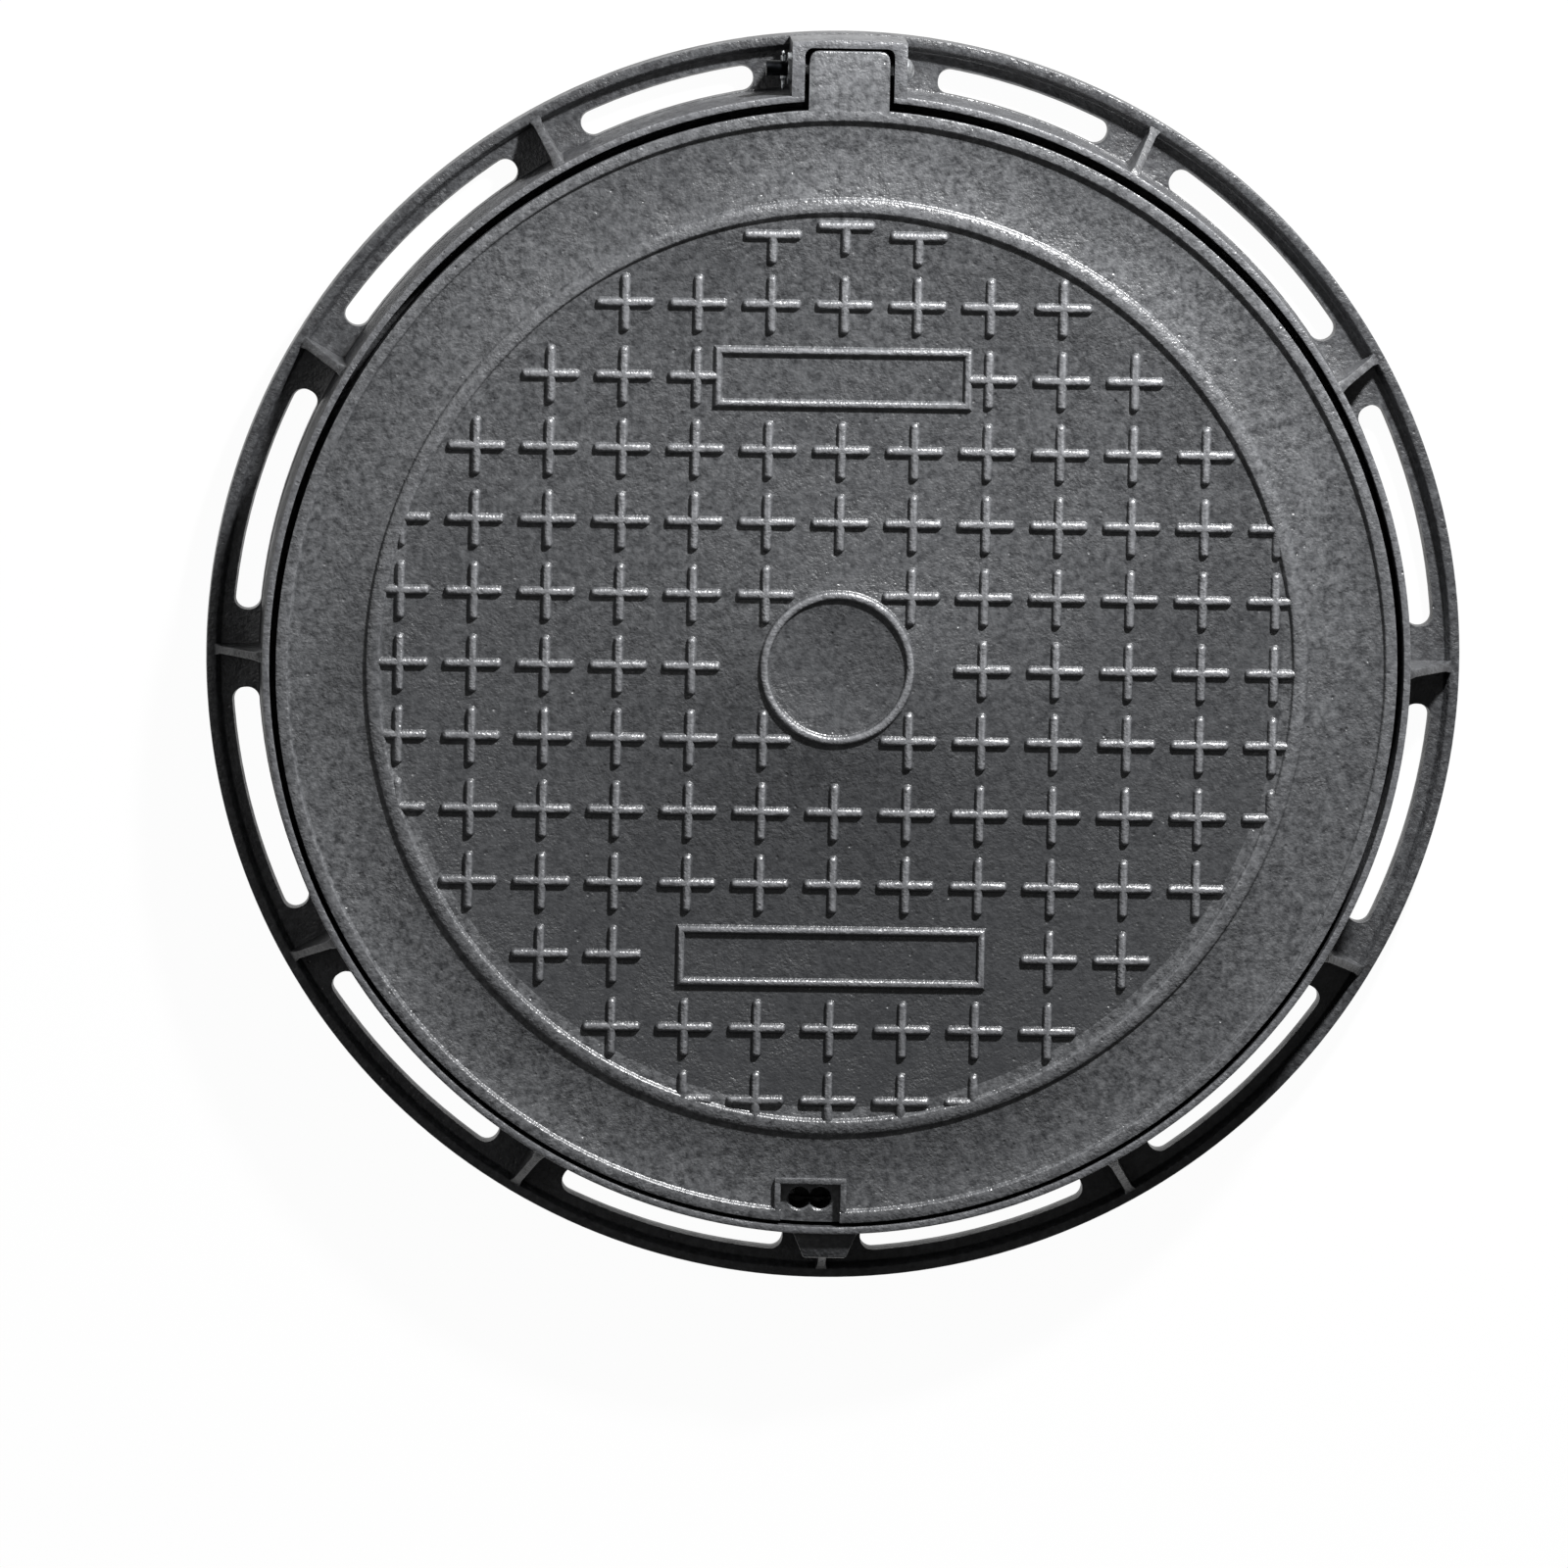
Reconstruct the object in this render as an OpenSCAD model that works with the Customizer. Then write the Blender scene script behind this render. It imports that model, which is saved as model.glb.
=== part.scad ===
// Round hinged cover for a septic tank: a slotted ring frame, a cast lid and its hinge pin.
// The origin is the centre of the frame's underside, with Z up and the hinge towards +Y.

/* [Lid plate] */
// Diameter of the lid at its top edge
lid_d = 714; // [700:1:722]
// Depth of the lid from the top of its lip to the foot of its skirt
lid_depth = 38; // [34:1:44]
// Thickness of the lid's plate under the pattern
plate_t = 8; // [6:0.5:10]
// Thickness of the skirt at its foot
skirt_t = 8; // [6:0.5:9]
// How much the skirt narrows from its top to its foot, on the radius
skirt_draft = 2; // [1:0.25:3]
// How far the lid sits off the frame's centre, away from the hinge
lid_shift = 1.5; // [0:0.25:2.5]
// Chamfer on the lid's outer edges
lid_edge = 1.25; // [0.5:0.25:2]

/* [Raised pattern] */
// Height of the lip, beads and crosses over the plate
relief_h = 3; // [2:0.25:4]
// How much each raised flank leans in over that height
relief_draft = 1.2; // [0.8:0.1:1.5]
// Width of the raised lip round the lid's edge
lip_w = 8.5; // [7:0.5:12]
// Outside diameter of the bead that frames the pattern
bead_d = 601; // [590:1:610]
// Width of that bead at its foot
bead_w = 10.5; // [7:0.5:13]
// Outside diameter of the ring in the middle
hub_ring_d = 99.5; // [90:0.5:104]
// Width of that ring at its foot
hub_ring_w = 6.3; // [5:0.1:8]
// Distance from one cross to the next, both ways
cross_pitch = 46.4; // [45:0.1:47.4]
// Length of a cross from tip to tip
cross_l = 38; // [32:1:42]
// Width of a cross's arm at its foot
cross_w = 7; // [5:0.5:8]
// Length of the panel on the hinge side
top_panel_l = 165; // [150:1:176]
// Length of the panel on the key side
key_panel_l = 198; // [190:1:230]
// Width of both panels
panel_w = 40; // [34:1:46]
// Width of a panel's border at its foot
panel_border = 6.3; // [5:0.1:8]
// Distance of a panel's middle from the lid's, in pitches of the crosses
panel_row = 4; // [3:1:4]
// Farthest that a cross's middle may lie from the lid's
cross_reach = 295; // [294:1:296]
// Crosses at each side of the middle one in the last row towards the hinge
end_row_side = 1; // [0:1:2]
// How far that last row sits in from its place in the grid
end_row_in = 2.5; // [2:0.5:4]

/* [Key pocket] */
// Width of the pocket over its border
pocket_w = 46; // [40:1:54]
// How far the pocket reaches in from the lid's edge
pocket_l = 29; // [28:0.5:32]
// Width of the pocket's border
pocket_border = 4; // [3:0.5:5]
// Depth of the pocket's floor under the plate's surface
pocket_sink = 3; // [1:0.5:4]
// How far the pocket sits to the left of the middle
pocket_x = 10; // [0:1:16]
// Diameter of each of the keyhole's two round lobes
key_hole_d = 15; // [12:0.5:16]
// How far the two lobes overlap
key_hole_lap = 1.5; // [1:0.25:4]
// Distance of the keyhole's middle from the lid's edge
key_hole_inset = 15.5; // [14:0.5:16.5]

/* [Lid underside] */
// Number of radial ribs under the plate
lid_ribs = 8; // [6:1:12]
// Thickness of those ribs at the plate
lid_rib_t = 8; // [6:0.5:12]
// Thickness of those ribs at their foot, as they thin to leave the sand
lid_rib_foot_t = 5.5; // [4:0.5:6]
// How far the ribs stop short of the skirt's foot
lid_rib_up = 5; // [3:0.5:10]
// Diameter of the outer ring rib
ring_rib_d = 400; // [300:5:500]
// Diameter of the inner ring rib
hub_rib_d = 120; // [80:2:160]
// Chamfer in the corner between the plate and the skirt
skirt_root = 4; // [2:0.5:6]

/* [Frame] */
// Width of the flange, from the frame's mouth to its edge
flange_w = 39; // [37:0.5:60]
// Height of the frame from its underside to the top of its wall
frame_h = 60; // [58:1:80]
// Gap between the lid's edge and the frame's mouth, with the lid in the middle
lid_gap = 4; // [3:0.5:6]
// Width of the wall's top
wall_t = 4.5; // [4:0.25:6]
// Chamfer on both edges of the wall's top
wall_edge = 0.8; // [0.5:0.1:1.5]
// How much each side of the wall leans out from top to foot
wall_draft = 1; // [0.5:0.25:1.5]
// Height of the flange's floor
floor_t = 11; // [8:0.5:13]
// Height of the raised rim round the flange
rim_h = 18; // [16:0.5:22]
// Width of the rim's top
rim_w = 6; // [5:0.25:8]
// How far the rim's inner flank leans out over its height
rim_draft = 3; // [1:0.25:4]
// Chamfer on both edges of the rim's top
rim_edge = 1.25; // [0.5:0.25:2]
// Width of the ledge that the lid rests on
seat_w = 13; // [12:0.5:18]
// Thickness of that ledge at its edge
seat_t = 9; // [7:0.5:11]
// Chamfer on both edges of the ledge
seat_edge = 1.5; // [0.5:0.25:3]
// Height of the foot's slope under the ledge
foot_rise = 8; // [4:0.5:10]
// How far that slope reaches in from the wall
foot_reach = 4.5; // [2:0.5:8]

/* [Flange slots] */
// Number of places round the flange, the hinge taking one
bays = 12; // [12:1:12]
// Width of a slot
slot_w = 16; // [12:0.5:17]
// Length of a slot as an angle, over its round ends
slot_angle = 22.4; // [18:0.1:23]
// Angle from the hinge to the near end of the two short slots
short_slot_from = 9; // [8.5:0.1:11]
// Angle from the hinge to their far end
short_slot_to = 26.4; // [24:0.1:26.6]
// Land between the wall's foot and a slot
slot_land = 0.5; // [0.5:0.25:1.5]

/* [Gussets and lock boss] */
// Thickness of a gusset
gusset_t = 6; // [4:0.5:8]
// How far a gusset's top stays under the wall's top
gusset_down = 3; // [1:0.5:8]
// Width of the lock boss at the wall
boss_w = 43; // [36:1:44]
// Width of the lock boss at its outer end
boss_end_w = 27; // [20:1:30]
// How far the boss stands out of the wall
boss_l = 16; // [12:0.5:20]
// How far the boss's top stays under the wall's top
boss_down = 5; // [2:0.5:10]

/* [Net lugs] */
// Number of lugs inside the frame
lugs = 3; // [3:1:3]
// How far a lug reaches in from the ledge to the middle of its hole
lug_l = 24; // [20:1:30]
// Width of a lug at the ledge
lug_w = 40; // [34:1:46]
// Radius of a lug's round end
lug_r = 13; // [12:0.5:16]
// Diameter of a lug's hole
lug_hole_d = 16; // [12:0.5:18]
// Thickness of a lug
lug_t = 9; // [8:0.5:10]
// How far a lug's top stays under the ledge, so that the key's foot clears it
lug_down = 6; // [4:0.5:8]

/* [Hinge] */
// Width of the lid's hinge tongue
tongue_w = 51; // [44:0.5:54]
// Radius of the tongue's round end about the pin
knuckle_r = 12.5; // [11:0.25:13]
// Radius of the tongue's corners, seen from above
tongue_corner_r = 6; // [3:0.5:9]
// Gap at each side of the tongue
tongue_gap = 3; // [2:0.25:4]
// Gap between the tongue's end and the back wall of the box
back_gap = 1.8; // [1.5:0.1:3]
// Thickness of the back wall of the box, in the middle
back_t = 5.7; // [5:0.1:8]
// How far the back wall sits inside the flange's edge
box_inset = 0.5; // [0.3:0.1:1]
// Thickness of each ear
ear_t = 8; // [6:0.5:10]
// Height of the sill under the tongue
sill_h = 30; // [26:1:32]
// Radius in the corners of the box
box_corner_r = 5; // [2:0.5:6]
// Diameter of the hinge pin
pin_d = 10; // [8:0.5:12]
// Clearance on the diameter between the pin and the ears
ear_fit = 0.5; // [0.3:0.1:1]
// Clearance on the diameter between the pin and the tongue
tongue_fit = 1.4; // [0.8:0.1:2]
// Diameter of the pin's head
pin_head_d = 16; // [14:0.5:20]
// Height of the pin's domed head
pin_head_h = 5; // [3:0.5:6]
// How far the pin stands out of the far ear
pin_tail = 16; // [14:0.5:20]
// Diameter of the washer
washer_d = 20; // [17:0.5:21]
// Thickness of the washer
washer_t = 2.5; // [2:0.25:3]
// Clearance on the diameter between the washer and the pin
washer_fit = 0.5; // [0.3:0.1:1]
// Diameter of the split pin's two legs together
split_d = 3.2; // [2.5:0.1:4]
// Clearance on the diameter of the split pin's hole
split_fit = 0.6; // [0.4:0.1:0.8]
// Gap between the split pin and the washer
split_gap = 1.2; // [0.5:0.1:2]
// How far the split pin's legs stand out of the hinge pin
split_tail = 6; // [5:0.5:7]
// Length of each bent tip of the legs
split_tip_l = 3; // [2:0.5:4]
// Angle of those tips
split_bend = 35; // [20:1:50]
// Radius of the split pin's eye, to the middle of its wire
split_eye_r = 3.2; // [2.5:0.1:4]

/* [Hidden] */
iron = "#2b2c2e";
lid_iron = "#3a3b3d";
steel = "#b9bcc0";

// How far a solid reaches into its neighbour so that the two become one
bite = 1;
// How far a cut reaches past the face that it opens
over = 1;
// True circles are asked for with this number of sides
round_fn = 96;

lid_r = lid_d / 2;
lid_top = frame_h;
plate_z = lid_top - relief_h;
plate_under = plate_z - plate_t;
seat_z = lid_top - lid_depth;
skirt_foot_r = lid_r - skirt_draft;
bead_r = bead_d / 2;
field_r = bead_r - bead_w;
rib_foot = seat_z + lid_rib_up;
last_row = floor(field_r / cross_pitch);

mouth_r = lid_r + lid_gap;
wall_top_r = mouth_r + wall_t;
wall_foot_r = wall_top_r + wall_draft;
wall_seat_r = mouth_r - wall_draft;
seat_r = wall_seat_r - seat_w;
wall_mid_r = wall_top_r - wall_t / 2;
frame_r = mouth_r + flange_w;
rim_in_r = frame_r - rim_w;
slot_in_r = wall_foot_r + slot_land;
slot_mid_r = slot_in_r + slot_w / 2;

bay = 360 / bays;
slot_end_angle = asin(slot_w / 2 / slot_mid_r);

box_in_w = tongue_w + 2 * tongue_gap;
box_out_w = box_in_w + 2 * ear_t;
pin_y = frame_r - back_t - back_gap - knuckle_r;
pin_z = lid_top - knuckle_r;
ear_face = box_out_w / 2;
split_x = -(ear_face + washer_t + split_gap + split_d / 2);
pin_end = -(ear_face + pin_tail);

// Directions round the frame are angles from the hinge, clockwise from above
module at_angle(a) {
    rotate([0, 0, -a]) children();
}

// The sliver between a corner at the origin and an arc of radius r that touches both its sides
module corner(r) {
    difference() {
        translate([-over, -over]) square(r + over);
        translate([r, r]) circle(r, $fn = round_fn);
    }
}

// Section of a raised rib that leans in on both flanks, with its foot in the plate
module relief_section(w) {
    polygon([
        [-w / 2, -bite], [w / 2, -bite], [w / 2, 0],
        [w / 2 - relief_draft, relief_h], [relief_draft - w / 2, relief_h], [-w / 2, 0]
    ]);
}

module relief_bar(l, w) {
    translate([0, l / 2, 0]) rotate([90, 0, 0]) linear_extrude(l) relief_section(w);
}

module relief_ring(r, w) {
    rotate_extrude($fn = round_fn) translate([r - w / 2, 0]) relief_section(w);
}

module cross() {
    relief_bar(cross_l, cross_w);
    rotate([0, 0, 90]) relief_bar(cross_l, cross_w);
}

module panel(l) {
    long = l - panel_border;
    short = panel_w - panel_border;
    for (s = [-1, 1]) {
        translate([0, s * short / 2, 0]) rotate([0, 0, 90]) relief_bar(l, panel_border);
        translate([s * long / 2, 0, 0]) relief_bar(panel_w, panel_border);
    }
}

// Whether a panel, the middle ring or the bead takes a place in the grid. Rows count from the
// middle towards the hinge, and columns from the middle to the right.
function taken(column, row) =
    let (reach = norm([column, row]) * cross_pitch)
    reach > cross_reach
    || reach < (hub_ring_d + cross_w) / 2
    || (row == panel_row && abs(column) * cross_pitch < top_panel_l / 2)
    || (row == -panel_row && abs(column) * cross_pitch < key_panel_l / 2)
    || (row == last_row && abs(column) > end_row_side);

module cross_at(column, row) {
    x = column * cross_pitch;
    y = row * cross_pitch - (row == last_row ? end_row_in : 0);
    tip = norm([abs(x) + cross_l / 2, abs(y) + cross_w / 2]);
    side_tip = norm([abs(x) + cross_w / 2, abs(y) + cross_l / 2]);
    if (max(tip, side_tip) > field_r) {
        intersection() {
            translate([x, y, 0]) cross();
            translate([0, 0, -2 * bite]) {
                cylinder(h = relief_h + 3 * bite, r = bead_r - bead_w / 2, $fn = round_fn);
            }
        }
    } else {
        translate([x, y, 0]) cross();
    }
}

module panel_inside(l) {
    inner_l = l - panel_border;
    inner_w = panel_w - panel_border;
    translate([-inner_l / 2, -inner_w / 2, 0]) cube([inner_l, inner_w, relief_h + over]);
}

module pattern() {
    difference() {
        for (row = [-last_row:last_row], column = [-last_row:last_row]) {
            if (!taken(column, row)) cross_at(column, row);
        }
        translate([0, panel_row * cross_pitch, 0]) panel_inside(top_panel_l);
        translate([0, -panel_row * cross_pitch, 0]) panel_inside(key_panel_l);
    }
    translate([0, panel_row * cross_pitch, 0]) panel(top_panel_l);
    translate([0, -panel_row * cross_pitch, 0]) panel(key_panel_l);
    relief_ring(bead_r, bead_w);
    relief_ring(hub_ring_d / 2, hub_ring_w);
}

// Radius of the skirt's outer and inner face at a height
function skirt_out(z) = skirt_foot_r + skirt_draft * (z - seat_z) / lid_depth;
function skirt_in(z) = skirt_foot_r - skirt_t - skirt_draft / 2 * (z - seat_z) / lid_depth;

// Plate, lip and skirt, turned about the lid's own middle
module lid_shell() {
    lip_r = lid_r - lip_w;
    root_z = plate_under - skirt_root;
    rotate_extrude($fn = round_fn) polygon([
        [0, plate_under], [skirt_in(plate_under) - skirt_root, plate_under],
        [skirt_in(root_z), root_z], [skirt_in(seat_z), seat_z],
        [skirt_foot_r - lid_edge, seat_z], [skirt_out(seat_z + lid_edge), seat_z + lid_edge],
        [skirt_out(lid_top - lid_edge), lid_top - lid_edge], [lid_r - lid_edge, lid_top],
        [lip_r + relief_draft, lid_top], [lip_r, plate_z], [0, plate_z]
    ]);
}

module ring_rib(d) {
    rib_h = plate_under - rib_foot + bite;
    translate([0, 0, rib_foot]) difference() {
        cylinder(h = rib_h, d = d + lid_rib_t, $fn = round_fn);
        translate([0, 0, -over]) cylinder(h = rib_h + 2 * over, d = d - lid_rib_t, $fn = round_fn);
    }
}

module radial_rib() {
    rib_l = skirt_in(seat_z) - hub_rib_d / 2 + bite;
    translate([0, hub_rib_d / 2 + rib_l, 0]) rotate([90, 0, 0]) linear_extrude(rib_l) {
        polygon([
            [-lid_rib_foot_t / 2, rib_foot], [lid_rib_foot_t / 2, rib_foot],
            [lid_rib_t / 2, plate_under + bite], [-lid_rib_t / 2, plate_under + bite]
        ]);
    }
}

module lid_underside() {
    for (i = [0:lid_ribs - 1]) at_angle((i + 0.5) * 360 / lid_ribs) radial_rib();
    ring_rib(hub_rib_d);
    ring_rib(ring_rib_d);
}

// Block over the pocket, which the pocket's floor is cut out of
module pocket_block() {
    translate([-pocket_x - pocket_w / 2, pocket_l - lid_r - pocket_border - bite, plate_z - bite]) {
        cube([pocket_w, pocket_border + bite, relief_h + bite]);
    }
    for (s = [-1, 1]) {
        side_x = -pocket_x + s * (pocket_w - pocket_border) / 2 - pocket_border / 2;
        translate([side_x, -lid_r + lip_w / 2, plate_z - bite]) {
            cube([pocket_border, pocket_l - lip_w / 2, relief_h + bite]);
        }
    }
}

module pocket_cut() {
    inner_w = pocket_w - 2 * pocket_border;
    lobe_x = (key_hole_d - key_hole_lap) / 2;
    translate([-pocket_x - inner_w / 2, -lid_r - over, plate_z - pocket_sink]) {
        cube([inner_w, pocket_l - pocket_border + over, pocket_sink + relief_h + over]);
    }
    for (s = [-1, 1]) {
        translate([-pocket_x + s * lobe_x, key_hole_inset - lid_r, seat_z - over]) {
            cylinder(h = lid_depth + 2 * over, d = key_hole_d, $fn = round_fn);
        }
    }
}

// Tongue of the lid: its end is round about the pin, and its corners are round from above
module tongue() {
    root_y = lid_r - lip_w;
    end_y = pin_y + knuckle_r;
    intersection() {
        translate([-tongue_w / 2, 0, 0]) rotate([90, 0, 90]) linear_extrude(tongue_w) {
            translate([root_y, pin_z - knuckle_r]) square([pin_y - root_y, 2 * knuckle_r]);
            translate([pin_y, pin_z]) circle(knuckle_r, $fn = round_fn);
        }
        translate([0, 0, pin_z - knuckle_r - over]) {
            linear_extrude(2 * (knuckle_r + over)) difference() {
                translate([-tongue_w / 2 - over, root_y]) square([tongue_w + 2 * over, end_y - root_y]);
                translate([-tongue_w / 2, end_y]) rotate(-90) corner(tongue_corner_r);
                translate([tongue_w / 2, end_y]) rotate(180) corner(tongue_corner_r);
            }
        }
    }
}

module pin_bore(fit, l) {
    translate([-l / 2, pin_y, pin_z]) rotate([0, 90, 0]) {
        cylinder(h = l, d = pin_d + fit, $fn = round_fn);
    }
}

module lid() {
    color(lid_iron) difference() {
        union() {
            translate([0, -lid_shift, 0]) {
                difference() {
                    union() {
                        lid_shell();
                        pocket_block();
                    }
                    pocket_cut();
                }
                lid_underside();
                translate([0, 0, plate_z]) pattern();
            }
            tongue();
        }
        pin_bore(tongue_fit, tongue_w + 2 * over);
    }
}

// Slot with round ends, cut through the flange between two angles
module slot(from, to) {
    a = from + slot_end_angle;
    b = to - slot_end_angle;
    h = floor_t + 2 * over;
    translate([0, 0, -over]) {
        rotate([0, 0, 90 - b]) rotate_extrude(angle = b - a, $fn = round_fn) {
            translate([slot_in_r, 0]) square([slot_w, h]);
        }
        for (end = [a, b]) {
            at_angle(end) translate([0, slot_mid_r, 0]) cylinder(h = h, d = slot_w, $fn = round_fn);
        }
    }
}

module slots() {
    for (i = [1:bays - 2]) {
        middle = (i + 0.5) * bay;
        slot(middle - slot_angle / 2, middle + slot_angle / 2);
    }
    slot(short_slot_from, short_slot_to);
    slot(360 - short_slot_to, 360 - short_slot_from);
}

// Flange with its raised rim, before the wall is put on it
module flange() {
    edge_run = rim_edge * rim_draft / (rim_h - floor_t);
    rotate_extrude($fn = round_fn) polygon([
        [wall_seat_r, 0], [frame_r, 0], [frame_r, rim_h - rim_edge], [frame_r - rim_edge, rim_h],
        [rim_in_r + rim_edge, rim_h], [rim_in_r - edge_run, rim_h - rim_edge],
        [rim_in_r - rim_draft, floor_t], [wall_seat_r, floor_t]
    ]);
}

// Wall with the ledge that carries the lid
module wall() {
    rotate_extrude($fn = round_fn) polygon([
        [wall_seat_r, 0], [wall_foot_r, 0], [wall_top_r, frame_h - wall_edge],
        [wall_top_r - wall_edge, frame_h], [mouth_r + wall_edge, frame_h],
        [mouth_r, frame_h - wall_edge], [wall_seat_r, seat_z], [seat_r + seat_edge, seat_z],
        [seat_r, seat_z - seat_edge], [seat_r, seat_z - seat_t + seat_edge],
        [seat_r + seat_edge, seat_z - seat_t], [wall_seat_r - foot_reach, foot_rise]
    ]);
}

// Gusset from near the wall's top down to the rim
module gusset() {
    rim_mid_r = frame_r - rim_w / 2;
    translate([-gusset_t / 2, 0, 0]) rotate([90, 0, 90]) linear_extrude(gusset_t) {
        polygon([
            [wall_mid_r, bite], [rim_mid_r, bite], [rim_mid_r, rim_h - bite], [rim_in_r, rim_h],
            [wall_top_r, frame_h - gusset_down], [wall_mid_r, frame_h - gusset_down]
        ]);
    }
}

module lock_boss() {
    end_r = wall_top_r + boss_l;
    linear_extrude(frame_h - boss_down) {
        polygon([
            [-boss_w / 2, wall_mid_r], [boss_w / 2, wall_mid_r],
            [boss_end_w / 2, end_r], [-boss_end_w / 2, end_r]
        ]);
    }
}

// Box of the hinge, seen from above: two ears and a back wall, all inside the flange's edge
module box_plan() {
    difference() {
        intersection() {
            circle(frame_r - box_inset, $fn = round_fn);
            translate([-box_out_w / 2, seat_r]) square([box_out_w, frame_r - seat_r]);
        }
        circle(wall_mid_r, $fn = round_fn);
    }
}

module box_cut() {
    back_y = frame_r - back_t;
    translate([0, 0, sill_h]) linear_extrude(frame_h - sill_h + over) difference() {
        translate([-box_in_w / 2, seat_r]) square([box_in_w, back_y - seat_r]);
        translate([-box_in_w / 2, back_y]) rotate(-90) corner(box_corner_r);
        translate([box_in_w / 2, back_y]) rotate(180) corner(box_corner_r);
    }
}

// Point where a line from p touches a circle of radius r about the origin
function touch(p, r) =
    let (d = norm(p), a = atan2(p[1], p[0]) - acos(r / d))
    [r * cos(a), r * sin(a)];

// Lug for a safety net, with its round end towards the middle of the frame
module lug() {
    hole_y = seat_r - lug_l;
    root = lug_l + seat_w / 2;
    t = touch([lug_w / 2, root], lug_r);
    translate([0, hole_y, seat_z - lug_down - lug_t]) linear_extrude(lug_t) difference() {
        union() {
            polygon([[lug_w / 2, root], t, [-t[0], t[1]], [-lug_w / 2, root]]);
            circle(lug_r, $fn = round_fn);
        }
        circle(d = lug_hole_d, $fn = round_fn);
    }
}

module frame() {
    color(iron) difference() {
        union() {
            difference() {
                flange();
                slots();
            }
            wall();
            for (i = [1:bays - 1]) at_angle(i * bay) gusset();
            at_angle(180) lock_boss();
            for (i = [0:lugs - 1]) at_angle((i + 0.5) * 360 / lugs) lug();
            translate([0, 0, bite]) linear_extrude(frame_h - bite) box_plan();
        }
        box_cut();
        pin_bore(ear_fit, box_out_w + 2 * over);
    }
}

module hinge_pin() {
    dome_r = (pow(pin_head_d / 2, 2) + pow(pin_head_h, 2)) / (2 * pin_head_h);
    color(steel) difference() {
        union() {
            translate([pin_end, pin_y, pin_z]) rotate([0, 90, 0]) {
                cylinder(h = ear_face - pin_end + bite, d = pin_d, $fn = round_fn);
            }
            translate([ear_face, pin_y, pin_z]) rotate([0, 90, 0]) intersection() {
                translate([0, 0, pin_head_h - dome_r]) sphere(dome_r, $fn = round_fn);
                cylinder(h = pin_head_h, d = pin_head_d + bite, $fn = round_fn);
            }
        }
        translate([split_x, pin_y - pin_d, pin_z]) rotate([-90, 0, 0]) {
            cylinder(h = 2 * pin_d, d = split_d + split_fit, $fn = round_fn);
        }
    }
}

module washer() {
    color(steel) translate([-ear_face - washer_t, pin_y, pin_z]) rotate([0, 90, 0]) difference() {
        cylinder(h = washer_t, d = washer_d, $fn = round_fn);
        translate([0, 0, -over]) {
            cylinder(h = washer_t + 2 * over, d = pin_d + washer_fit, $fn = round_fn);
        }
    }
}

// Split pin: an eye towards the wall, two legs through the hinge pin and their tips bent apart
module split_pin() {
    bend_y = pin_d / 2 + split_tail - split_tip_l;
    eye_y = -pin_d / 2 - split_eye_r - split_d / 2;
    neck_y = eye_y + split_eye_r;
    color(steel) translate([split_x, pin_y, pin_z]) {
        translate([0, neck_y, 0]) rotate([-90, 0, 0]) {
            cylinder(h = bend_y - neck_y, d = split_d, $fn = round_fn);
        }
        translate([0, eye_y, 0]) rotate([0, 90, 0]) rotate_extrude($fn = round_fn) {
            translate([split_eye_r, 0]) circle(d = split_d / 2, $fn = round_fn);
        }
        for (s = [-1, 1]) {
            translate([0, bend_y, s * split_d / 4]) rotate([-90 + s * split_bend, 0, 0]) {
                cylinder(h = split_tip_l, d = split_d / 2, $fn = round_fn);
            }
        }
    }
}

frame();
lid();
hinge_pin();
washer();
split_pin();
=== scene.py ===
import math

import bmesh
import bpy
from mathutils import Matrix, Vector


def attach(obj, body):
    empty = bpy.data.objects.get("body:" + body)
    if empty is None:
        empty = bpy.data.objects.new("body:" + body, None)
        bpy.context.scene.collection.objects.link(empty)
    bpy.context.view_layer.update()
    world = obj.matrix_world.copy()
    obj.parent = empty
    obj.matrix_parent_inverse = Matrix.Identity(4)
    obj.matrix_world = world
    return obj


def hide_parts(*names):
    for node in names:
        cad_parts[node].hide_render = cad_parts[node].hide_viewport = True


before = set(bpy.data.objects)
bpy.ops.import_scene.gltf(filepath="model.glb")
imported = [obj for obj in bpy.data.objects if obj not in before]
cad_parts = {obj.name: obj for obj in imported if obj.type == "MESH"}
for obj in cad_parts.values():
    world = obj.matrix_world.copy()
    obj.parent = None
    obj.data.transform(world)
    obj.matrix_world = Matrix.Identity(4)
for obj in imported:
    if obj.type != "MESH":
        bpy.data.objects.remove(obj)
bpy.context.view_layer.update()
mm = 0.001
scene = bpy.context.scene
rangeSockets = ("From Min", "From Max", "To Min", "To Max")


def hexToLinear(text):    # sRGB hex to the linear colour that a shader takes
    channels = [int(text[i:i + 2], 16) / 255 for i in (1, 3, 5)]
    linear = [c / 12.92 if c <= 0.04045 else ((c + 0.055) / 1.055) ** 2.4 for c in channels]
    return (*linear, 1.0)


# adds a node with its settings; each input is a link from another node's output or a plain value
def addNode(tree, kind, inputs=None, **settings):
    node = tree.nodes.new(kind)
    for name, value in settings.items():
        setattr(node, name, value)
    for socket, value in (inputs or {}).items():
        if isinstance(value, bpy.types.NodeSocket):
            tree.links.new(value, node.inputs[socket])
        else:
            node.inputs[socket].default_value = value
    return node


cameraSetup = {
    "target": (-0.02935, -0.08396, 0.0),
    "lean": 7.75,      # degrees towards the hinge
    "side": -2.82,     # degrees, negative is towards the left
    "roll": 1.2,       # degrees, the cover lies a little clockwise
    "distance": 12.0,
    "widthAtTarget": 1.0022,
    "sensor": 36,      # mm
    "farthest": 60,
}


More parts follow.
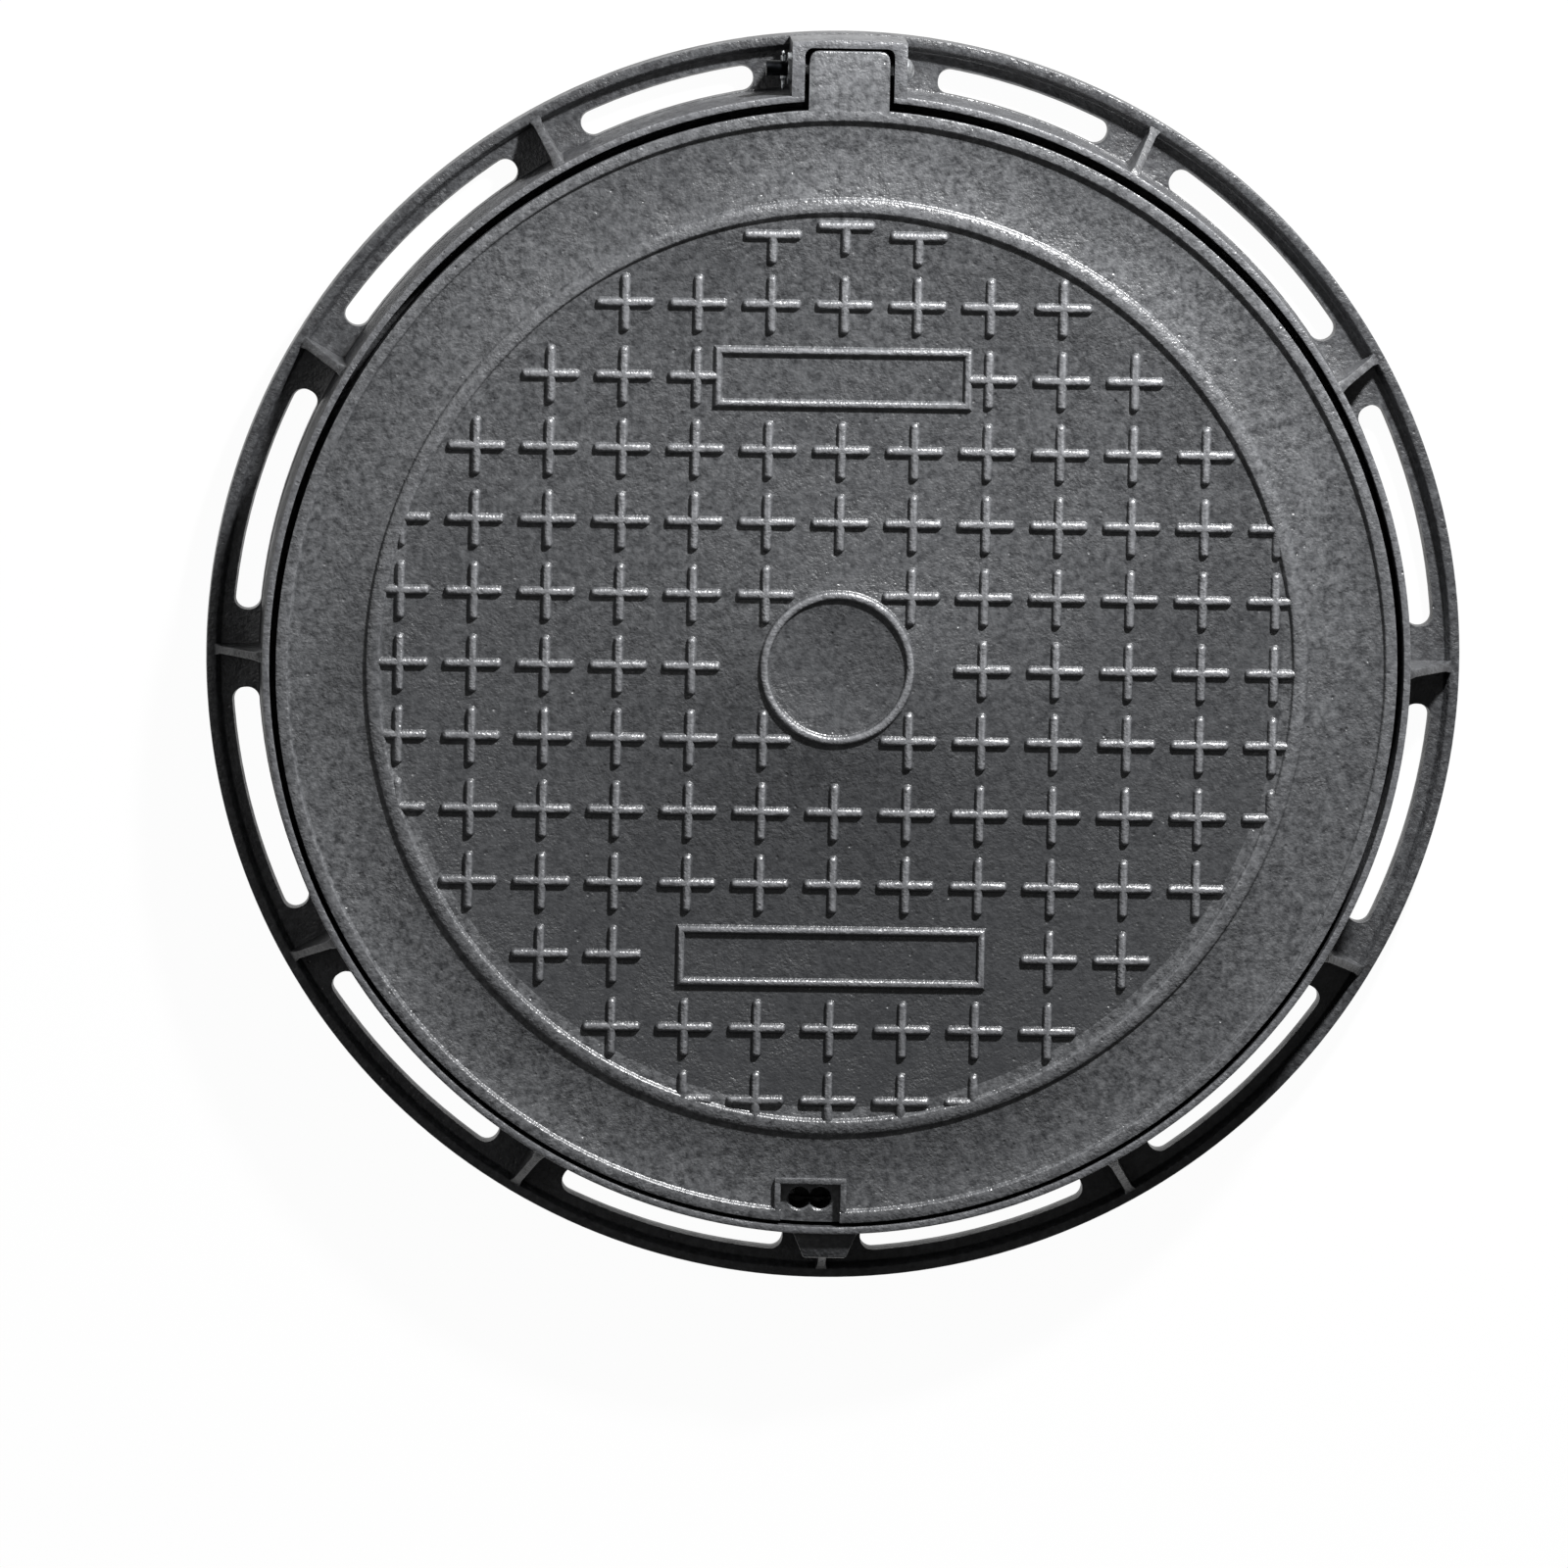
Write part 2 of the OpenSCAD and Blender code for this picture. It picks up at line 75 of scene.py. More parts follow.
def makeCamera(setup):
    data = bpy.data.cameras.new("camera")
    camera = bpy.data.objects.new("camera", data)
    scene.collection.objects.link(camera)
    lean = math.radians(setup["lean"])
    side = math.radians(setup["side"])
    towards = Vector((math.sin(side), math.sin(lean), 0))
    towards.z = math.sqrt(1 - towards.x ** 2 - towards.y ** 2)
    up = Vector((0, 1, 0))
    right = up.cross(towards).normalized()
    up = towards.cross(right).normalized()
    turn = Matrix((right, up, towards)).transposed()
    turn = turn @ Matrix.Rotation(math.radians(setup["roll"]), 3, "Z")
    place = Vector(setup["target"]) + towards * setup["distance"]
    camera.matrix_world = Matrix.Translation(place) @ turn.to_4x4()
    data.sensor_width = setup["sensor"]
    data.lens = setup["sensor"] * setup["distance"] / setup["widthAtTarget"]
    data.clip_end = setup["farthest"]
    scene.camera = camera


makeCamera(cameraSetup)
print("camera set")

lampSetup = {
    "main": {"place": (0.74, 1.53, 0.92), "size": (0.18, 0.12), "power": 114},
    "fill": {"place": (-1.1, 0.5, 1.3), "size": (1.2, 1.2), "power": 3},
}
lampAim = Vector((0, 0, 0.03))
worldStrength = 0.08


def makeLamp(name, setup):
    data = bpy.data.lights.new(name, "AREA")
    data.shape = "RECTANGLE"
    data.size, data.size_y = setup["size"]
    data.energy = setup["power"]
    lamp = bpy.data.objects.new(name, data)
    scene.collection.objects.link(lamp)
    lamp.location = setup["place"]
    lamp.rotation_euler = (lampAim - Vector(setup["place"])).to_track_quat("-Z", "Y").to_euler()


for name, setup in lampSetup.items():
    makeLamp(name, setup)

world = bpy.data.worlds.new("studio")
scene.world = world
world.use_nodes = True
world.node_tree.nodes["Background"].inputs["Color"].default_value = (1, 1, 1, 1)
world.node_tree.nodes["Background"].inputs["Strength"].default_value = worldStrength

floorSetup = {"size": 14, "height": -0.0005, "paper": 0.9, "glow": 0.97, "shaft": 0.353}


# the floor shows white to the camera and in reflections, and still takes the cover's shadow
def makeFloor(setup):
    bpy.ops.mesh.primitive_plane_add(size=setup["size"], location=(0, 0, setup["height"]))
    floor = bpy.context.object
    floor.name = "floor"
    material = bpy.data.materials.new("whitePaperSweep")
    material.use_nodes = True
    tree = material.node_tree
    tree.nodes.clear()
    path = addNode(tree, "ShaderNodeLightPath").outputs
    paper = addNode(tree, "ShaderNodeBsdfDiffuse", {"Color": (*[setup["paper"]] * 3, 1)})
    glow = addNode(tree, "ShaderNodeEmission", {"Color": (1, 1, 1, 1), "Strength": 1.0})
    seen = addNode(tree, "ShaderNodeMath", {0: path["Is Camera Ray"], 1: path["Is Glossy Ray"]},
                   operation="MAXIMUM")
    share = addNode(tree, "ShaderNodeMath", {0: seen.outputs[0], 1: setup["glow"]}, operation="MULTIPLY")
    place = addNode(tree, "ShaderNodeTexCoord").outputs["Object"]
    away = addNode(tree, "ShaderNodeVectorMath", {0: place}, operation="LENGTH").outputs["Value"]
    # inside the frame's mouth the shaft stays dark
    outside = addNode(tree, "ShaderNodeMath", {0: away, 1: setup["shaft"]}, operation="GREATER_THAN")
    share = addNode(tree, "ShaderNodeMath", {0: share.outputs[0], 1: outside.outputs[0]},
                    operation="MULTIPLY")
    mix = addNode(tree, "ShaderNodeMixShader", {0: share.outputs[0], 1: paper.outputs[0], 2: glow.outputs[0]})
    addNode(tree, "ShaderNodeOutputMaterial", {"Surface": mix.outputs[0]})
    floor.data.materials.append(material)


makeFloor(floorSetup)
scene.view_settings.view_transform = "Standard"
print("light and floor set")

# grey iron cast in green sand and dipped in bitumen: a black skin with a low sheen over a grain of a
# few millimetres, clusters of pinholes, smooth patches between rough ones, greyer tops (worn paint and
# painted highlight), and painted shade at the keyhole's side and underneath
castingFinish = {
    "grain": 4.2, "fineGrain": 1.7, "pinholes": 9.0, "mottle": 22.0, "patches": 110.0,    # mm
    "grainDepth": 0.85, "pinholeDepth": 0.28,    # mm
    "fineShare": 0.75,       # how strong the fine grain is beside the coarse one
    "sheen": 0.75,
    "stops": (0.30, 0.52, 0.78),         # where the grain is dark, middle and light
    "clusters": 0.53,                    # pinholes only where the mottle is under this
    # the next ones take a range of a pattern to a range of an effect
    "pinholeEdge": (0.05, 0.15, 0.0, 1.0),
    "thickDip": (0.85, 1.20, 0.0, 0.35),
    "roughPatches": (0.36, 0.64, 0.45, 0.85),
    "glossMottle": (0.3, 0.7),
    "wearAndHighlightShare": (1.0, 0.25),            # of the lighter tops, on the pattern and outside it
    "keyholeSideShadeSpan": (-0.28, 0.12),            # m, the painted shade runs from the keyhole's side, where it is darkest, to where it ends
    # near black for the painted shade underneath, and its share at the low and at the high height
    "shadeBelowColour": "#0b0b0d", "shadeBelowShare": (0.8, 0.0),
    # the fourth colour of each look is for the tops: partly worn paint, partly painted highlight
    "lid": {"dark": "#2c2d2f", "middle": "#505153", "light": "#6a6b6d", "wornAndHighlit": "#808184",
            "top": (58.4, 59.6), "wearHighlightAndShadeEdge": (284.0, 291.0), "darkened": (48.0, 49.5),    # mm
            # the last pair is the painted shade's share at the keyhole's side and at its far end; the frame
            # has none
            "roughness": (0.28, 0.44), "keyholeSideShade": (0.9, 0.22)},
    "frame": {"dark": "#242426", "middle": "#3c3d3f", "light": "#545557", "wornAndHighlit": "#6c6d70",
              "top": (58.6, 59.8), "wearHighlightAndShadeEdge": (420.0, 430.0), "darkened": (8.5, 10.8),    # mm
              "roughness": (0.30, 0.50), "keyholeSideShade": (0.0, 0.0)},
}


def bitumenOnSandCasting(name, look, finish):
    material = bpy.data.materials.new(name)
    material.use_nodes = True
    tree = material.node_tree
    shader = tree.nodes["Principled BSDF"]
    shader.inputs["Specular IOR Level"].default_value = finish["sheen"]
    place = addNode(tree, "ShaderNodeTexCoord").outputs["Object"]
    colour = {part: hexToLinear(look[part]) for part in ("dark", "middle", "light", "wornAndHighlit")}

    patterns = ("grain", "fineGrain", "pinholes", "mottle", "patches")
    perMetre = {part: 1 / (finish[part] * mm) for part in patterns}
    grain = addNode(tree, "ShaderNodeTexNoise", {"Vector": place, "Scale": perMetre["grain"],
                                                 "Detail": 3.0, "Roughness": 0.6}).outputs["Fac"]
    fine = addNode(tree, "ShaderNodeTexNoise", {"Vector": place, "Scale": perMetre["fineGrain"],
                                                "Detail": 1.0}).outputs["Fac"]
    mottle = addNode(tree, "ShaderNodeTexNoise", {"Vector": place, "Scale": perMetre["mottle"],
                                                  "Detail": 4.0, "Roughness": 0.55}).outputs["Fac"]
    patches = addNode(tree, "ShaderNodeTexNoise", {"Vector": place, "Scale": perMetre["patches"],
                                                   "Detail": 2.0}).outputs["Fac"]
    cells = addNode(tree, "ShaderNodeTexVoronoi", {"Vector": place, "Scale": perMetre["pinholes"],
                                                   "Randomness": 1.0})
    pinhole = addNode(tree, "ShaderNodeMapRange", {"Value": cells.outputs["Distance"]}
                      | dict(zip(rangeSockets, finish["pinholeEdge"])))
    sparse = addNode(tree, "ShaderNodeMath", {0: mottle, 1: finish["clusters"]}, operation="GREATER_THAN")
    pinhole = addNode(tree, "ShaderNodeMath", {0: pinhole.outputs["Result"], 1: sparse.outputs[0]},
                      operation="MAXIMUM")

    shade = addNode(tree, "ShaderNodeValToRGB", {"Fac": grain})
    ramp = shade.color_ramp
    ramp.elements.new(finish["stops"][1])
    for stop, position, part in zip(ramp.elements, finish["stops"], ("dark", "middle", "light")):
        stop.position, stop.color = position, colour[part]

    # darker where the dip ran thick
    spread = addNode(tree, "ShaderNodeMath", {0: mottle, 1: patches}, operation="ADD")
    spread = addNode(tree, "ShaderNodeMapRange", {"Value": spread.outputs[0]}
                     | dict(zip(rangeSockets, finish["thickDip"])))
    thick = addNode(tree, "ShaderNodeMix", data_type="RGBA",
                    inputs={0: spread.outputs["Result"], 6: shade.outputs["Color"], 7: colour["dark"]})

    # painted shade: darker towards the keyhole's side, and only inside the bead
    spot = addNode(tree, "ShaderNodeSeparateXYZ", {"Vector": place}).outputs
    flat = addNode(tree, "ShaderNodeVectorMath", {0: place, 1: (1, 1, 0)}, operation="MULTIPLY")
    away = addNode(tree, "ShaderNodeVectorMath", {0: flat.outputs["Vector"]}, operation="LENGTH")
    away = away.outputs["Value"]
    shadeAlongY = addNode(tree, "ShaderNodeMapRange", {"Value": spot["Y"]}
                    | dict(zip(rangeSockets, finish["keyholeSideShadeSpan"] + look["keyholeSideShade"])))
    inside = addNode(tree, "ShaderNodeMath", {0: away, 1: look["wearHighlightAndShadeEdge"][0] * mm}, operation="LESS_THAN")
    keyholeSideShadeAmount = addNode(tree, "ShaderNodeMath", {0: shadeAlongY.outputs["Result"], 1: inside.outputs[0]},
                   operation="MULTIPLY")
    keyholeSideShade = addNode(tree, "ShaderNodeMix", data_type="RGBA",
                     inputs={0: keyholeSideShadeAmount.outputs[0], 6: thick.outputs[2], 7: colour["dark"]})

    # the tops are lighter, most of all on the pattern: partly paint worn off, partly a painted highlight
    low, high = (z * mm for z in look["top"])
    top = addNode(tree, "ShaderNodeMapRange", {"Value": spot["Z"]}
                  | dict(zip(rangeSockets, (low, high, 0.0, 1.0))))
    near, far = (r * mm for r in look["wearHighlightAndShadeEdge"])
    wearAndHighlightByRadius = addNode(tree, "ShaderNodeMapRange", {"Value": away}
                   | dict(zip(rangeSockets, (near, far, *finish["wearAndHighlightShare"]))))
    wearAndHighlight = addNode(tree, "ShaderNodeMath", {0: top.outputs["Result"], 1: grain}, operation="MULTIPLY")
    wearAndHighlight = addNode(tree, "ShaderNodeMath", {0: wearAndHighlight.outputs[0], 1: wearAndHighlightByRadius.outputs["Result"]},
                  operation="MULTIPLY")
    wornAndHighlit = addNode(tree, "ShaderNodeMix", data_type="RGBA",
                     inputs={0: wearAndHighlight.outputs[0], 6: keyholeSideShade.outputs[2], 7: colour["wornAndHighlit"]})

    # painted shade: under the lid's plate and below the frame's channel floor the colour goes near black
    low, high = (z * mm for z in look["darkened"])
    darkening = addNode(tree, "ShaderNodeMapRange", {"Value": spot["Z"]}
                  | dict(zip(rangeSockets, (low, high, *finish["shadeBelowShare"]))))
    darkened = addNode(tree, "ShaderNodeMix", data_type="RGBA",
                     inputs={0: darkening.outputs["Result"], 6: wornAndHighlit.outputs[2],
                             7: hexToLinear(finish["shadeBelowColour"])})
    tree.links.new(darkened.outputs[2], shader.inputs["Base Color"])

    gloss = addNode(tree, "ShaderNodeMapRange", {"Value": mottle}
                    | dict(zip(rangeSockets, finish["glossMottle"] + look["roughness"])))
    tree.links.new(gloss.outputs["Result"], shader.inputs["Roughness"])

    fine = addNode(tree, "ShaderNodeMath", {0: fine, 1: finish["fineShare"]}, operation="MULTIPLY")
    skin = addNode(tree, "ShaderNodeMath", {0: grain, 1: fine.outputs[0]}, operation="ADD")
    rough = addNode(tree, "ShaderNodeMapRange", {"Value": mottle}
                    | dict(zip(rangeSockets, finish["roughPatches"])))
    bump = addNode(tree, "ShaderNodeBump", {"Height": skin.outputs[0], "Strength": rough.outputs["Result"],
                                            "Distance": finish["grainDepth"] * mm})
    pitted = addNode(tree, "ShaderNodeBump", {"Height": pinhole.outputs[0], "Normal": bump.outputs["Normal"],
                                              "Strength": 1.0, "Distance": finish["pinholeDepth"] * mm})
    tree.links.new(pitted.outputs["Normal"], shader.inputs["Normal"])
    return material


lidPaint = bitumenOnSandCasting("bitumenOnLidCasting", castingFinish["lid"], castingFinish)
framePaint = bitumenOnSandCasting("bitumenOnFrameCasting", castingFinish["frame"], castingFinish)


def clearSelection():
    if bpy.context.object and bpy.context.object.mode != "OBJECT":
        bpy.ops.object.mode_set(mode="OBJECT")
    bpy.ops.object.select_all(action="DESELECT")


def takeUp(piece):    # makes it the only one selected, and the active one
    clearSelection()
    bpy.context.view_layer.objects.active = piece
    piece.select_set(True)


def openMesh(piece):
    takeUp(piece)
    bpy.ops.object.mode_set(mode="EDIT")


def closeMesh():
    bpy.ops.object.mode_set(mode="OBJECT")


def pick(piece, part, test):    # selects the vertices, edges or faces that pass the test
    mesh = bmesh.from_edit_mesh(piece.data)
    bpy.ops.mesh.select_mode(type=part)
    bpy.ops.mesh.select_all(action="DESELECT")
    for item in {"VERT": mesh.verts, "EDGE": mesh.edges, "FACE": mesh.faces}[part]:
        if test(item):
            item.select_set(True)
    mesh.select_flush_mode()
    bmesh.update_edit_mesh(piece.data)


def middle(item):
    return sum((v.co for v in item.verts), Vector()) / len(item.verts) / mm


def isUpright(edge):
    return abs(edge.verts[0].co.z - edge.verts[1].co.z) > 1 * mm


def bake(piece):    # puts the place, turn and size into the mesh
    takeUp(piece)
    bpy.ops.object.transform_apply(location=True, rotation=True, scale=True)


def moveMesh(piece, x=0.0, y=0.0, z=0.0):
    piece.data.transform(Matrix.Translation((x * mm, y * mm, z * mm)))


def useModifier(piece, kind, **settings):
    takeUp(piece)
    modifier = piece.modifiers.new(kind.lower(), kind)
    for name, value in settings.items():
        setattr(modifier, name, value)
    bpy.ops.object.modifier_apply(modifier=modifier.name)


def roundEdges(piece, width, angle=28):
    useModifier(piece, "BEVEL", width=width * mm, segments=2, limit_method="ANGLE",
                angle_limit=math.radians(angle), use_clamp_overlap=True)


def useBoolean(piece, other, operation="DIFFERENCE"):
    useModifier(piece, "BOOLEAN", operation=operation, object=other, solver="EXACT")
    bpy.data.objects.remove(other)


def cutBeyond(piece, place, way):    # takes off what lies past the plane, whose place is in metres
    openMesh(piece)
    bpy.ops.mesh.select_all(action="SELECT")
    bpy.ops.mesh.bisect(plane_co=place, plane_no=way, clear_outer=True)
    closeMesh()


def joinAll(name, pieces):
    clearSelection()
    for piece in pieces:
        piece.select_set(True)
    bpy.context.view_layer.objects.active = pieces[0]
    bpy.ops.object.join()
    joined = bpy.context.object
    joined.name = name
    joined.data.name = name
    return joined


def copyOf(piece, turn=0.0, move=(0, 0, 0)):    # turn in degrees, clockwise from above; move in mm
    other = piece.copy()
    other.data = piece.data.copy()
    scene.collection.objects.link(other)
    turning = Matrix.Rotation(math.radians(-turn), 4, "Z")
    other.data.transform(Matrix.Translation(Vector(move) * mm) @ turning)
    return other


def block(name, low, high):    # from one corner to the other, in mm
    clearSelection()
    bpy.ops.mesh.primitive_cube_add(size=1)
    piece = bpy.context.object
    piece.name = name
    piece.location = (Vector(low) + Vector(high)) / 2 * mm
    piece.scale = (Vector(high) - Vector(low)) * mm
    bake(piece)
    return piece


def rod(name, radius, start, end, sides=48):
    clearSelection()
    start, end = Vector(start) * mm, Vector(end) * mm
    bpy.ops.mesh.primitive_cylinder_add(vertices=sides, radius=radius * mm, depth=(end - start).length)
    piece = bpy.context.object
    piece.name = name
    piece.rotation_mode = "QUATERNION"
    piece.rotation_quaternion = (end - start).to_track_quat("Z", "Y")
    piece.location = (start + end) / 2
    bake(piece)
    return piece


# draws a line through (radius, height) points, one extruded vertex after another
def drawProfile(name, profile, closed, towards):
    clearSelection()
    bpy.ops.mesh.primitive_plane_add(size=1 * mm)
    piece = bpy.context.object
    piece.name = name
    bpy.ops.object.mode_set(mode="EDIT")
    bpy.ops.mesh.select_mode(type="VERT")
    bpy.ops.mesh.select_all(action="SELECT")
    bpy.ops.mesh.merge(type="CENTER")
    points = [towards * r + Vector((0, 0, z)) for r, z in profile + (profile[:1] if closed else [])]
    bpy.ops.transform.translate(value=points[0] * mm)
    for near, far in zip(points, points[1:]):
        bpy.ops.mesh.extrude_region_move(TRANSFORM_OT_translate={"value": (far - near) * mm})
    bpy.ops.mesh.select_all(action="SELECT")
    return piece


# a profile of (radius, height) points spun about Z, as on a lathe
def turned(name, profile, steps, closed=True):
    piece = drawProfile(name, profile, closed, Vector((1, 0, 0)))
    bpy.ops.mesh.spin(steps=steps, angle=math.tau, center=(0, 0, 0), axis=(0, 0, 1))
    bpy.ops.mesh.select_all(action="SELECT")
    bpy.ops.mesh.remove_doubles(threshold=0.02 * mm)
    bpy.ops.mesh.normals_make_consistent(inside=False)
    closeMesh()
    return piece


# faces point outwards, flat ones stay flat, and the piece takes its finish
def finishCasting(piece, paint):
    openMesh(piece)
    bpy.ops.mesh.select_all(action="SELECT")
    bpy.ops.mesh.normals_make_consistent(inside=False)
    closeMesh()
    bpy.ops.object.shade_smooth_by_angle(angle=math.radians(smoothAngle))
    piece.data.materials.clear()
    piece.data.materials.append(paint)


roundSteps = 240      # sides of the large circles
smoothAngle = 38      # degrees, edges sharper than this stay sharp
overshoot = 3         # mm that a cutter reaches past what it cuts
slack = 0.1           # mm, nearer than this is the same place

lidSize = {    # mm
    "radius": 357.0, "top": 60.0, "plate": 57.0, "under": 49.0, "foot": 22.0,
    "shift": -1.5,          # the lid lies this far off the frame's middle
    "lip": 8.5, "flank": 1.2, "shellRound": 0.8,
    "bead": (290.0, 300.5), "ring": (43.45, 49.75),
    "backs": {"ring": (0.3, 0.3), "bead": (0.14, 0.42)},    # shares that slope at each side
    "shoulder": (0.7, 1.1), "backDrop": 0.15,    # a share of the flank, and mm under the top
    "skirtFoot": (347.0, 355.0), "skirtRoot": 346.3, "skirtCorner": 4,
    "pitch": 46.4, "crossLength": 38.0, "crossWidth": 7.0, "tipShare": 0.90, "tipSteps": 6,
    "rows": 6, "farthest": 295, "ringClear": 3.5, "rimBite": 2, "tipHalf": 3,
    "sunk": 0.05,           # how deep the relief's foot lies in the plate
    # in and up, from the foot to the top
    "crown": ((0.3, 0.25), (0.5, 1.15), (0.7, 0.8), (0.8, 0.5), (0.7, 0.25)),
    "endRow": {-1: 276.3, 0: 282.6, 1: 276.3},    # by column: where the three T shapes' bars lie
    "panels": {4: 165.0, -4: 198.0},    # length by row
    "panelWidth": 40.0, "panelBorder": 6.3,
    "pocket": {"middle": -10.0, "width": 46.0, "length": 29.0, "border": 4.0, "floor": 54.0,
               "sunk": 1, "wallGap": 4, "step": 0.03, "round": 0.9},
    "keyhole": {"radius": 7.1, "apart": 13.3, "inset": 15.5, "chamfer": 1.3, "over": 0.5, "below": 2,
                "sides": 40},
    "ribs": 8, "ribRings": (60.0, 200.0), "ribThick": 8.0, "ribThin": 5.5, "ribFoot": 27.0,
    "ribRound": 1.2, "ribSunk": 0.5, "ringTaper": 0.6, "ribSides": 96,
    "tongue": {"half": 25.5, "start": 349.3, "end": 392.5, "low": 35.04, "high": 59.94,
               "corner": 6, "cornerSteps": 4, "edge": 1.2, "edgeSteps": 3, "edgeFrom": 381},
    "bore": {"radius": 5.7, "reach": 40, "y": 380, "z": 47.5},
}


def lidShell(size):
    flank, top, plate, drop = size["flank"], size["top"], size["plate"], size["backDrop"]
    share, down = size["shoulder"]
    profile = [(0, plate)]
    for name, (near, far) in size["backs"].items():    # round-backed, as the crosses are
        inner, outer = size[name]
        wide = outer - inner
        profile += [(inner, plate), (inner + flank * share, top - down), (inner + wide * near, top - drop),
                    (outer - wide * far, top - drop), (outer - flank * share, top - down), (outer, plate)]
    lipIn = size["radius"] - size["lip"]
    footIn, footOut = size["skirtFoot"]
    root, under, corner = size["skirtRoot"], size["under"], size["skirtCorner"]
    profile += [(lipIn, plate), (lipIn + flank, top), (size["radius"], top), (footOut, size["foot"]),
                (footIn, size["foot"]), (root, under - corner), (root - corner, under), (0, under)]
    shell = turned("lidShell", profile, steps=roundSteps, closed=False)
    roundEdges(shell, size["shellRound"])
    return shell


def raiseFaces(crown):    # lifts the selected faces, each step a little further in than the last
    for side, up in crown:
        bpy.ops.mesh.inset(thickness=side * mm, depth=0, use_boundary=True)
        bpy.ops.transform.translate(value=(0, 0, up * mm))


# a plus of square bars with round ends, lifted into a crowned relief
def makeCross(size, arms=((1, 0), (-1, 0), (0, 1), (0, -1))):
    clearSelection()
    wide, reach = size["crossWidth"], size["crossLength"] / 2
    bpy.ops.mesh.primitive_plane_add(size=wide * mm)
    cross = bpy.context.object
    cross.name = "cross"
    bpy.ops.object.mode_set(mode="EDIT")
    out = reach - wide / 2
    for x, y in arms:
        way = Vector((x, y, 0))
        pick(cross, "EDGE", lambda e: (middle(e) - way * wide / 2).length < slack)
        bpy.ops.mesh.extrude_region_move(TRANSFORM_OT_translate={"value": way * out * mm})
    pick(cross, "VERT", lambda v: v.co.length > (reach - 1) * mm)
    bpy.ops.mesh.bevel(offset=wide / 2 * size["tipShare"] * mm, segments=size["tipSteps"], affect="VERTICES")
    bpy.ops.mesh.select_mode(type="FACE")
    bpy.ops.mesh.select_all(action="SELECT")
    raiseFaces(size["crown"])
    closeMesh()
    return cross


# every place in the grid that the bead, the middle ring and the panels leave free; the row after
# the last one is the T shapes
def crossPlaces(size):
    rows = size["rows"]
    for row in range(-rows, rows):
        for column in range(-rows, rows + 1):
            away = math.hypot(row, column) * size["pitch"]
            inPanel = abs(column) * size["pitch"] < size["panels"].get(row, 0) / 2
            if size["ring"][1] + size["ringClear"] <= away <= size["farthest"] and not inPanel:
                yield row, column


def layCrosses(size):
    pitch, reach, tip = size["pitch"], size["crossLength"] / 2, size["tipHalf"]
    foot = size["plate"] - size["sunk"]
    tee = makeCross(size, arms=((1, 0), (-1, 0), (0, -1)))
    crosses = [copyOf(tee, move=(column * pitch, y, foot)) for column, y in size["endRow"].items()]
    bpy.data.objects.remove(tee)
    pattern = makeCross(size)
    rim = size["bead"][0] + size["rimBite"]
    for row, column in crossPlaces(size):
        x, y = column * pitch, row * pitch
        cross = copyOf(pattern, move=(x, y, foot))
        corners = [math.hypot(abs(x) + reach, abs(y) + tip), math.hypot(abs(x) + tip, abs(y) + reach)]
        if max(corners) > rim:
            away = Vector((x, y, 0)).normalized()
            cutBeyond(cross, away * rim * mm, away)
        panelHalf = size["panels"].get(row, 0) / 2
        if row in size["panels"] and abs(x) - reach < panelHalf:
            edge = panelHalf - size["panelBorder"] / 2
            way = 1 if x > 0 else -1
            cutBeyond(cross, (way * edge * mm, 0, 0), (-way, 0, 0))
        crosses.append(cross)
    bpy.data.objects.remove(pattern)
    return crosses


def raisedFrame(name, length, width, border, size):
    clearSelection()
    bpy.ops.mesh.primitive_plane_add(size=1)
    piece = bpy.context.object
    piece.name = name
    piece.scale = (length * mm, width * mm, 1)
    bake(piece)
    bpy.ops.object.mode_set(mode="EDIT")
    bpy.ops.mesh.select_all(action="SELECT")
    bpy.ops.mesh.inset(thickness=border * mm, depth=0)
    bpy.ops.mesh.delete(type="FACE")
    bpy.ops.mesh.select_all(action="SELECT")
    raiseFaces(size["crown"])
    closeMesh()
    return piece


def lidRibs(size):
    foot, root = size["ribFoot"], size["under"] + size["ribSunk"]
    half, taper = size["ribThick"] / 2, size["ringTaper"]
    rib = block("rib", (-half, size["ribRings"][0], foot), (half, size["skirtFoot"][0] + 1, root))
    openMesh(rib)
    pick(rib, "VERT", lambda v: v.co.z < (foot + 1) * mm)
    bpy.ops.transform.resize(value=(size["ribThin"] / size["ribThick"], 1, 1))
    closeMesh()
    roundEdges(rib, size["ribRound"])
    ribs = [copyOf(rib, turn=(i + 0.5) * 360 / size["ribs"]) for i in range(size["ribs"])]
    bpy.data.objects.remove(rib)
    for r in size["ribRings"]:
        ring = turned("ribRing", [(r - half + taper, foot), (r + half - taper, foot), (r + half, root),
                                  (r - half, root)], steps=size["ribSides"])
        roundEdges(ring, size["ribRound"])
        ribs.append(ring)
    return ribs


def lidTongue(size):    # its top is a hair under the lip
    tongue, bore = size["tongue"], size["bore"]
    half, end = tongue["half"], tongue["end"]
    piece = block("tongue", (-half, tongue["start"], tongue["low"]), (half, end, tongue["high"]))
    openMesh(piece)
    pick(piece, "EDGE", lambda e: middle(e).y > end - 2.5 and abs(middle(e).x) > half - 0.5 and isUpright(e))
    bpy.ops.mesh.bevel(offset=tongue["corner"] * mm, segments=tongue["cornerSteps"])
    pick(piece, "EDGE", lambda e: middle(e).y > tongue["edgeFrom"] and abs(middle(e).z - bore["z"]) > 12)
    bpy.ops.mesh.bevel(offset=tongue["edge"] * mm, segments=tongue["edgeSteps"])
    closeMesh()
    ends = [(x, bore["y"], bore["z"]) for x in (-bore["reach"], bore["reach"])]
    useBoolean(piece, rod("bore", bore["radius"], *ends))
    return piece


